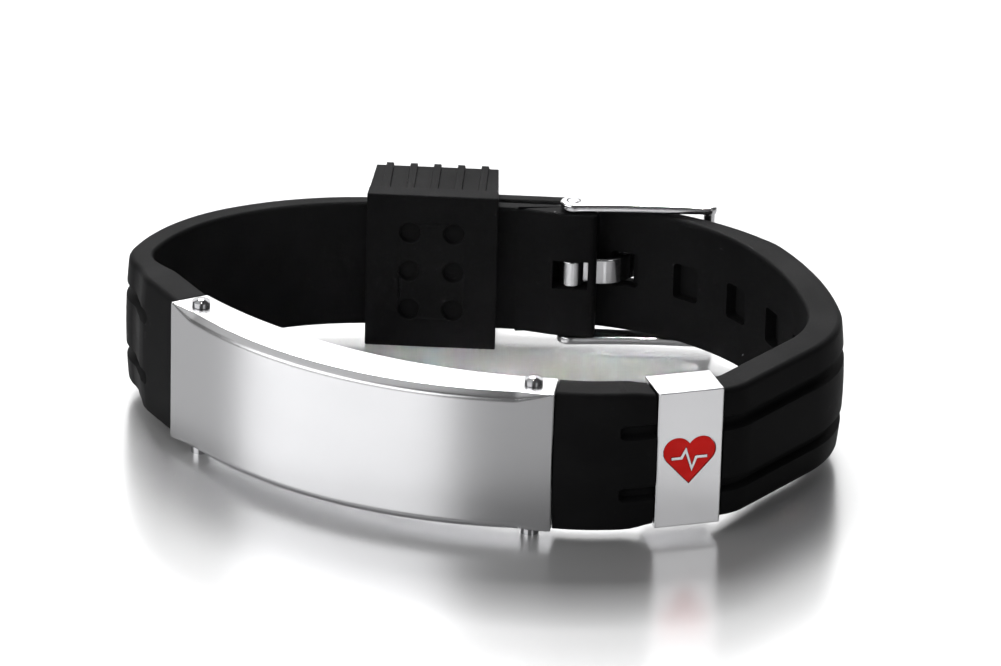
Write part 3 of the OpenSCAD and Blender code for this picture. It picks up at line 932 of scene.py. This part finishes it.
@dataclass(frozen=True)
class Plate:
    """The curved steel plate and its two rivets."""

    band: Band
    joints: tuple[Joint, Joint]
    front_r: float = 46.2
    back_r: float = 53.5
    fade_r: float = 86.0
    bevel_w: float = 0.8
    bevel_h: float = 0.75
    bevel_soft: float = 0.28
    front_soft: float = 0.08
    least_edge: float = 0.1
    soft: float = 0.12
    end_soft: float = 0.14
    columns: int = 150
    gap: float = 0.1
    pocket_gap: float = 0.15

    @staticmethod
    def arc(left: Vector, right: Vector, radius: float, count: int) -> list[Vector]:
        """Points on an arc from left to right that bulges away from the wrist.

        Args:
            left: its first point.
            right: its last point.
            radius: its radius.
            count: number of points.

        Returns:
            The points, from left to right.
        """
        chord = right - left
        middle = (left + right) / 2
        up = Vector((-chord.y, chord.x, 0)).normalized()
        centre = middle + up * sqrt(radius ** 2 - (chord.length / 2) ** 2)
        start = atan2(left.y - centre.y, left.x - centre.x)
        sweep = 2 * asin(chord.length / 2 / radius)
        return [centre + radius * Vector((cos(start + sweep * u), sin(start + sweep * u), 0))
                for u in (k / (count - 1) for k in range(count))]

    def section(self, deep: float, amount: float, shrink: float) -> list[Pair]:
        """The plate's section.

        Args:
            deep: thickness there.
            amount: how far the bevel has grown, from 0 to 1.
            shrink: how far all faces draw in, for the soft end edges.

        Returns:
            (distance from the front, height) points, all round.
        """
        wide, high = (max(size * amount, self.least_edge) for size in (self.bevel_w, self.bevel_h))
        half = self.band.plate_half
        upper = [(shrink, half - high), (wide, half - shrink), (deep - shrink, half - shrink)]
        corners = upper + [(n, -z) for n, z in reversed(upper)]
        edges = [self.bevel_soft * amount + self.front_soft, self.soft, self.soft]
        return rounded(corners, edges + edges[::-1])

    def loop(self, front: Vector, back: Vector, amount: float, shrink: float = 0.0,
             shift: Vector = Vector((0, 0, 0))) -> Loop:
        """The section between a point of the front and one of the back, shifted along the plate.

        Args:
            front: the point of the front.
            back: the point of the back.
            amount: how far the bevel has grown.
            shrink: how far all faces draw in.
            shift: the shift.

        Returns:
            The section's points.
        """
        way = (back - front).normalized()
        return [front + way * n + shift + Vector((0, 0, Band.mid_z + z))
                for n, z in self.section((back - front).length, amount, shrink)]

    def build(self) -> None:
        """Builds the plate with its pockets, and finishes the rivets."""
        right, left = self.joints[0].spot, self.joints[1].spot
        flat = Vector((1, 1, 0))
        ends, backs = ([left.at(self.gap, out, 0) * flat, right.at(-self.gap, out, 0) * flat]
                       for out in (self.band.plate_t, 0))
        fronts = self.arc(*ends, self.front_r, self.columns)
        inner = self.arc(*backs, self.back_r, self.columns)
        length = (ends[1] - ends[0]).length
        slack = (1 / self.front_r - 1 / self.fade_r) / 2
        loops = []
        for i, (front, back) in enumerate(zip(fronts, inner)):
            chord = (front - ends[0]).dot((ends[1] - ends[0]) / length)
            amount = min(1.0, max(0.0, chord * (length - chord) * slack / self.bevel_w))
            if 0 < i < self.columns - 1:
                loops.append(self.loop(front, back, amount))
                continue
            beside = fronts[1] if i == 0 else fronts[-2]
            shift = (beside - front).normalized() * self.end_soft
            pair = [self.loop(front, back, amount, self.end_soft), self.loop(front, back, amount, 0.0, shift)]
            loops += pair if i == 0 else reversed(pair)
        plate = skin("id_plate_dressed", loops)
        for joint in self.joints:
            carve(plate, joint.tongue(self.pocket_gap))
            carve(plate, joint.bore())
        Finish.plate_steel.dress(finish(plate, angle=30.0))
        for name in ("rivet_left", "rivet_right"):
            Finish.rivet_steel.dress(frame["nodes"][name])


@dataclass(frozen=True)
class Buckle:
    """The pin buckle: two arms and a far bar, the hinge pin and the bent prong."""

    band: Band
    bar_back: float = 16.0
    arm_h: float = 0.95
    arm_pin_w: float = 3.0
    arm_bar_w: float = 1.7
    arm_rise: float = 0.35
    arm_soft: float = 0.3
    bar_d: float = 1.3
    pin_d: float = 1.5
    pin_gap: float = 0.05
    pin_soft: float = 0.26
    prong_h: float = 3.1
    prong_t: float = 1.1
    prong_bend: float = 1.3
    prong_soft: float = 0.28
    room_soft: float = 0.05
    tip_half: float = 0.12
    tip_share: float = 0.6
    eye_d: float = 2.7
    eye_soft: float = 0.22
    blade_rise: float = 0.4
    loop_t: float = 3.2
    loop_rise: float = 1.2
    pin_inset: float = 2.8
    slot_back: float = 7.7
    fit: float = 0.15
    clear: float = 0.3

    @property
    def arm_z(self) -> float:
        """Height of the arms' inner faces above the middle."""
        return self.band.strap_half + self.fit

    @property
    def bar_thick(self) -> float:
        """The strap's thickness under the far bar."""
        nose = degrees(self.band.groove_w / 2 / self.band.tail_r)
        turned = self.band.back_spot(self.bar_back).heading - self.band.tail_heading
        share = (turned - nose) / (self.band.thin_turn - nose)
        return self.band.crown_t + (self.band.tail_t - self.band.crown_t) * share

    @property
    def pin_spot(self) -> Spot:
        """The hinge pin's axis, heading for the far bar."""
        pin = self.band.short_start.moved(self.pin_inset).at(0, self.loop_t / 2 - self.loop_rise, 0)
        bar = self.bar_point()
        return Spot(pin.x, pin.y, degrees(atan2(bar.y - pin.y, bar.x - pin.x)))

    def bar_point(self) -> Vector:
        """The far bar's axis."""
        return self.band.back_spot(self.bar_back).at(0, self.bar_thick + self.fit + self.bar_d / 2, 0)

    def prong_path(self) -> list[Vector]:
        """The prong's bends, from its eye under the strap out through the slot and onto the bar.

        Returns:
            The points.
        """
        slot, pin = self.band.back_spot(self.slot_back), self.pin_spot
        clear = self.clear + self.prong_t / 2
        return [
            Vector((pin.x, pin.y + self.blade_rise, 0)),
            slot.moved(self.prong_t).at(0, -clear, 0),
            slot.moved(-self.prong_t / 2).at(0, self.band.tail_t + clear, 0),
            self.band.back_spot(self.bar_back).at(0, self.bar_thick + self.fit + self.bar_d + clear, 0),
        ]

    def blade(self, grow: float) -> Piece:
        """The prong's blade, or with grow the room that it needs.

        Args:
            grow: how much larger it is on all sides.

        Returns:
            The blade, or the tool that makes its room.
        """
        corners = [point.to_2d() for point in self.prong_path()]
        path = [corners[0]]
        for before, here, after in zip(corners, corners[1:], corners[2:]):
            first, last = (here + way.normalized() * min(self.prong_bend, EDGE_SHARE * way.length)
                           for way in (before - here, after - here))
            path += bend(first, here, last, steps=8)
        path.append(corners[-1])
        wide, high = self.prong_t / 2 + grow, self.prong_h / 2 + grow
        soft = self.prong_soft if grow == 0 else self.room_soft
        loops = []
        for i, point in enumerate(path):
            way = (path[min(i + 1, len(path) - 1)] - path[max(i - 1, 0)]).normalized()
            side = Vector((-way.y, way.x))
            stages = [(0.0, 0.0)]
            if i == len(path) - 1:
                stages = [(wide * sin(a), wide * (1 - cos(a))) for a in quarter(5)]
            for ahead, tight in stages:
                w, h = (max(size, self.tip_half) for size in (wide - tight, high - tight * self.tip_share))
                outline = rounded(oblong((-w, -h), (w, h)), [soft] * 4, steps=3)
                front = point + way * ahead
                loops.append([Vector((*(front + side * a), Band.mid_z + b)) for a, b in outline])
        return skin("blade", loops)

    def pin_hole(self, sides: int = 40) -> Piece:
        """A long rod around the hinge pin with a fine gap."""
        radius = self.pin_d / 2 + self.pin_gap
        return lathe("hole", [(radius, z) for z in (-FAR, FAR)], self.pin_spot.plan, sides)

    def arm_outline(self, reach: float) -> list[Pair]:
        """Plan outline of an arm: an arched, tapering bar with round ends.

        Args:
            reach: distance from the hinge pin to the far bar.

        Returns:
            The counter-clockwise outline.
        """
        first, last, steps = self.arm_pin_w / 2, self.arm_bar_w / 2, 28
        lower, upper = [], []
        for k in range(1, steps):
            u = k / steps
            middle, half = 4 * self.arm_rise * u * (1 - u), first + (last - first) * u
            lower.append((u * reach, middle - half))
            upper.append((u * reach, middle + half))
        turns = [2 * pi * k / steps - pi / 2 for k in range(steps // 2 + 1)]
        tip = [(reach + last * cos(a), last * sin(a)) for a in turns]
        heel = [(-first * cos(a), -first * sin(a)) for a in turns]
        return lower + tip + upper[::-1] + heel

    def build(self) -> None:
        """Builds the frame, the pin and the prong."""
        pin, bar = self.pin_spot, self.bar_point()
        reach = hypot(bar.x - pin.x, bar.y - pin.y)
        outline, top = self.arm_outline(reach), self.arm_z + self.arm_h
        piece = pillow("buckle_frame_dressed", outline, self.arm_z, top, self.arm_soft, pin.plan)
        lower = pillow("arm", outline, -top, -self.arm_z, self.arm_soft, pin.plan)
        half = self.arm_z + self.arm_h / 2
        rod = lathe("rod", [(self.bar_d / 2, z) for z in (-half, half)],
                    lambda x, y, z: pin.plan(x + reach, y, z), sides=32)
        carve(piece, lower, Cut.ON)
        carve(piece, rod, Cut.ON)
        carve(piece, self.pin_hole())
        Finish.buckle_steel.dress(finish(piece))

        profile = knob(self.pin_d / 2, top + self.pin_gap, self.pin_soft, steps=5)
        Finish.buckle_steel.dress(finish(lathe("hinge_pin_dressed", profile, pin.plan)))

        prong = self.blade(0.0)
        prong.name = "prong_dressed"
        eye = knob(self.eye_d / 2, self.prong_h / 2, self.eye_soft, steps=4)
        carve(prong, lathe("eye", eye, pin.plan), Cut.ON)
        carve(prong, self.pin_hole())
        Finish.buckle_steel.dress(finish(prong))


@dataclass(frozen=True)
class Straps:
    """The two rubber straps between the plate and the buckle, and the keeper around them."""

    band: Band
    buckle: Buckle
    joints: tuple[Joint, Joint]
    slot_count: int = 5
    slot_pitch: float = 7.8
    slot_len: float = 3.3
    slot_h: float = 4.2
    slot_soft: float = 0.5
    slot_depth: float = 1.3
    slot_reach: float = 6.0
    tag_len: float = 7.6
    neck_t: float = 3.25
    neck_h: float = 13.96
    neck_room: float = 9.0
    slit_len: float = 4.0
    loop_dip: float = 0.1
    loop_softs: tuple[float, ...] = (0.8, 0.1, 0.1, 1.2, 0.9)
    loop_over: float = 0.015
    loop_edge: float = 0.3
    hole_sides: int = 28
    keeper_soft: float = 0.14

    def slot(self, spot: Spot) -> Piece:
        """The tool that cuts one adjusting slot as a pocket in the wrist side.

        Args:
            spot: the slot's middle.

        Returns:
            The tool.
        """
        x, z = self.slot_len / 2, self.slot_h / 2
        outline = rounded(oblong((-x, -z), (x, z)), [self.slot_soft] * 4)
        depths = (-self.slot_reach, self.slot_depth)
        return skin("slot", [[spot.face(a, b, n) for a, b in outline] for n in depths])

    def build_long(self) -> None:
        """Builds the long strap, with the neck inside the tag and the adjusting slots."""
        band, room, plan = self.band, self.neck_room, self.band.tag_middle.plan
        strap = band.strap("strap_long_dressed", band.right_start, band.long_run())
        self.joints[0].fasten(strap)
        half, high = self.tag_len / 2, self.neck_h / 2
        neck = block("neck", (-half, -room, -FAR), (half, room, FAR), plan)
        carve(neck, block("core", (-room, -self.neck_t, -high), (room, BEYOND, high), plan))
        carve(strap, neck)
        for i in range(self.slot_count):
            carve(strap, self.slot(band.back_spot(self.buckle.slot_back + i * self.slot_pitch)))
        carve(strap, self.buckle.blade(self.buckle.clear))
        Finish.strap_rubber.dress(finish(strap))

    def build_short(self) -> None:
        """Builds the short strap, with the loop around the hinge pin."""
        band, buckle = self.band, self.buckle
        start, tall = band.short_start, band.strap_half + self.loop_over
        strap = band.strap("strap_short_dressed", start.moved(band.loop_soft), band.short_run())
        rise, out, far = buckle.loop_rise, buckle.loop_rise - buckle.loop_t, band.loop_len
        corners = [(0, out), (far, out), (far + band.loop_slope, -self.loop_dip), (far, rise), (0, rise)]
        outline = rounded(corners, self.loop_softs)
        carve(strap, pillow("loop", outline, -tall, tall, self.loop_edge, start.plan), Cut.ON)
        self.joints[1].fasten(strap)
        carve(strap, buckle.pin_hole(self.hole_sides))
        half, back = buckle.prong_h / 2 + buckle.fit, -self.slit_len / 2 - buckle.fit
        low, high = (back, -band.plate_t, -half), (back + self.slit_len, 2 * band.plate_t, half)
        carve(strap, block("slit", low, high, buckle.pin_spot.plan))
        carve(strap, buckle.blade(buckle.fit))
        Finish.strap_rubber.dress(finish(strap))

    def build_keeper(self) -> None:
        """Rounds the edges of the keeper's own mesh."""
        mesh = frame["nodes"]["keeper"].data.copy()
        mesh.name = "keeper_dressed"
        mesh.transform(Matrix.Scale(1 / MM, 4))
        keeper = cleaned(mesh, flat=True)
        soften(keeper, self.keeper_soft, angle=30.0, clamp=False)
        Finish.keeper_rubber.dress(finish(keeper, angle=20.0))


@dataclass(frozen=True)
class Tag:
    """The sliding steel tag with its enamelled heart."""

    band: Band
    length: float = 7.3
    height: float = 15.66
    thick: float = 4.95
    wall: float = 0.7
    fit: float = 0.15
    heart_w: float = 5.9
    heart_depth: float = 0.35
    pulse_w: float = 0.34
    soft: float = 0.16
    edge_soft: float = 0.128
    recess_soft: float = 0.035
    heart_gap: float = 0.07
    pulse_gap: float = 0.05
    enamel_lift: float = 0.04
    enamel_drop: float = 0.05
    enamel_soft: float = 0.06
    least_mitre: float = 0.45
    lobe_steps: int = 26
    # the lobes' radius and middle, and the tip, as shares of the heart's width
    heart_shape: tuple[float, ...] = (0.27, 0.23, 0.155, -0.49)
    pulse: tuple[Pair, ...] = (
        (-0.34, 0.02), (-0.15, 0.02), (-0.07, 0.17), (0.05, -0.2), (0.13, 0.02), (0.34, 0.02))

    @property
    def front(self) -> float:
        """Distance of the tag's front face from the strap's wrist side."""
        return self.thick - self.wall - self.fit

    def heart(self, wide: float) -> list[Pair]:
        """Counter-clockwise outline of a heart.

        Args:
            wide: its width.

        Returns:
            The outline, from the tip round.
        """
        lobe_r, x, y, tip = (share * wide for share in self.heart_shape)
        reach = hypot(x, y - tip)
        lean = atan2(y - tip, x) - asin(lobe_r / reach)
        first = lean - pi / 2
        last = pi - acos(x / lobe_r)
        turns = (first + (last - first) * k / self.lobe_steps for k in range(self.lobe_steps + 1))
        right = [(x + lobe_r * cos(a), y + lobe_r * sin(a)) for a in turns]
        right[-1] = (0.0, right[-1][1])
        return [(0.0, tip), *right, *[(-a, b) for a, b in reversed(right[:-1])]]

    def pulse_line(self, grow: float) -> Piece:
        """The pulse trace as a mitred bar through the recess, or with grow the room that it needs.

        Args:
            grow: how much wider it is on both sides.

        Returns:
            The tool.
        """
        low, high = self.front - self.heart_depth - BEYOND, self.front + 2 * BEYOND
        wide = self.pulse_w + 2 * grow
        points = [Vector(p) * self.heart_w for p in self.pulse]
        points[0].x -= grow
        points[-1].x += grow
        loops = []
        for i, point in enumerate(points):
            before = (point - points[i - 1]).normalized() if i else (points[1] - point).normalized()
            after = (points[i + 1] - point).normalized() if i + 1 < len(points) else before
            way = (before + after).normalized()
            side = Vector((-way.y, way.x)) * (wide / 2 / max(way.dot(before), self.least_mitre))
            corners = [(point - side, low), (point + side, low), (point + side, high), (point - side, high)]
            loops.append([self.band.tag_middle.face(p.x, p.y, n) for p, n in corners])
        return skin("pulse", loops)

    def build(self) -> None:
        """Builds the sleeve with the recess for the heart, and the enamel."""
        middle, half, tall, wall = self.band.tag_middle, self.length / 2, self.height / 2, self.wall
        low, high = self.front - self.thick, self.front
        outline = rounded(oblong((-half, -high), (half, -low)), [self.soft] * 4)
        sleeve = pillow("tag_sleeve_dressed", outline, -tall, tall, self.edge_soft, middle.plan)
        carve(sleeve, block("bore", (-half - BEYOND, wall - high, wall - tall),
                            (half + BEYOND, -low - wall, tall - wall), middle.plan))
        floor, heart = high - self.heart_depth, self.heart(self.heart_w)
        recess = skin("recess", [[middle.face(x, z, n) for x, z in heart] for n in (floor, high + BEYOND)])
        carve(recess, self.pulse_line(0.0))
        carve(sleeve, recess)
        soften(sleeve, self.recess_soft, angle=50.0)
        Finish.tag_steel.dress(finish(sleeve, angle=30.0))

        heart = self.heart(self.heart_w - 2 * self.heart_gap)
        drop = pillow("tag_enamel_dressed", heart, floor + self.enamel_lift, high - self.enamel_drop,
                      self.enamel_soft, middle.face, steps=3)
        carve(drop, self.pulse_line(self.pulse_gap))
        Finish.enamel.dress(finish(drop))


@dataclass(frozen=True)
class Lamp:
    """One soft lamp: its place, size and aim in millimetres, power in watts and spread in degrees."""

    name: str
    at: Point
    size: Pair
    power: float
    spread: float = 180.0
    aim: Point = (0.0, 0.0, 0.0)

    def hang(self) -> None:
        """Adds the lamp to the scene."""
        light = bpy.data.lights.new(self.name, "AREA")
        light.shape, light.size, light.size_y = "RECTANGLE", self.size[0] * MM, self.size[1] * MM
        light.energy, light.spread = self.power, radians(self.spread)
        lamp = linked(light)
        lamp.location = Vector(self.at) * MM
        lamp.rotation_euler = (Vector(self.aim) - Vector(self.at)).to_track_quat("-Z", "Y").to_euler()
        lamp.visible_camera = False


@dataclass(frozen=True)
class Studio:
    """Pale floor, soft lamps, dim surroundings and the camera."""

    floor_half: float = 2500.0
    board: Tabletop = Tabletop("white_board", (0.86, 0.86, 0.865), (0.84, 0.84, 0.845), 0.22, 0.5)
    camera_at: Point = (1.99, -705.20, 317.91)
    elevation: float = 23.52
    roll: float = 1.52
    lens: float = 251.75
    sensor: float = 36.0
    clips: Pair = (0.01, 20.0)
    surroundings: float = 0.09
    lamps: tuple[Lamp, ...] = (
        Lamp("back", (0.0, 2000.0, 950.0), (3400.0, 1900.0), 27.0),
        Lamp("key", (-60.0, 400.0, 520.0), (260.0, 260.0), 4.2, aim=(0.0, 0.0, 10.0)),
        Lamp("left", (-1213.0, -882.0, 650.0), (1870.0, 900.0), 11.5),
        Lamp("right", (850.0, -1230.0, 650.0), (500.0, 500.0), 1.1),
        Lamp("top", (-560.0, 0.0, 830.0), (900.0, 900.0), 1.5),
        Lamp("inner", (1.0, 4.0, 600.0), (52.0, 34.0), 0.009, 4.0, (1.0, 4.0, 0.0)),
    )

    def build(self) -> None:
        """Builds all of it."""
        half = self.floor_half
        corners = [Vector((x, y, 0)) for x, y in oblong((-half, -half), (half, half))]
        floor = piece_from("floor", corners, [(0, 1, 2, 3)])
        floor.data.transform(Matrix.Scale(MM, 4))
        floor.data.materials.append(self.board.make())
        for lamp in self.lamps:
            lamp.hang()
        world = bpy.data.worlds.new("surroundings")
        world.use_nodes = True
        graph = Graph(world.node_tree)
        sockets = {"Color": (1.0, 1.0, 1.0, 1.0), "Strength": self.surroundings}
        light = graph.node("ShaderNodeBackground", {}, sockets)
        graph.node("ShaderNodeOutputWorld", {}, {"Surface": light})
        bpy.context.scene.world = world
        bpy.context.scene.view_settings.view_transform = "Standard"
        self.set_camera()

    def set_camera(self) -> None:
        """Puts the camera where the photograph was taken from."""
        tilt, roll = radians(self.elevation), radians(self.roll)
        ahead = Vector((0, cos(tilt), -sin(tilt)))
        level, rise = Vector((1, 0, 0)), Vector((0, sin(tilt), cos(tilt)))
        right = cos(roll) * level + sin(roll) * rise
        up = cos(roll) * rise - sin(roll) * level
        data = bpy.data.cameras.new("camera")
        data.lens, data.sensor_width, data.sensor_fit = self.lens, self.sensor, "HORIZONTAL"
        data.clip_start, data.clip_end = self.clips
        camera = bpy.context.scene.camera = linked(data)
        turn = Matrix((right, up, -ahead)).transposed().to_4x4()
        camera.matrix_world = Matrix.Translation(Vector(self.camera_at) * MM) @ turn


def main() -> None:
    """Builds the pieces in order."""
    logging.basicConfig(level=logging.INFO, format="%(name)s: %(message)s")
    band = Band()
    buckle = Buckle(band)
    joints = (Joint(band.right_start, -1), Joint(band.short_end, 1))
    straps = Straps(band, buckle, joints)
    Studio().build()
    Plate(band, joints).build()
    straps.build_long()
    straps.build_short()
    straps.build_keeper()
    buckle.build()
    Tag(band).build()


if __name__ == "__main__":
    main()
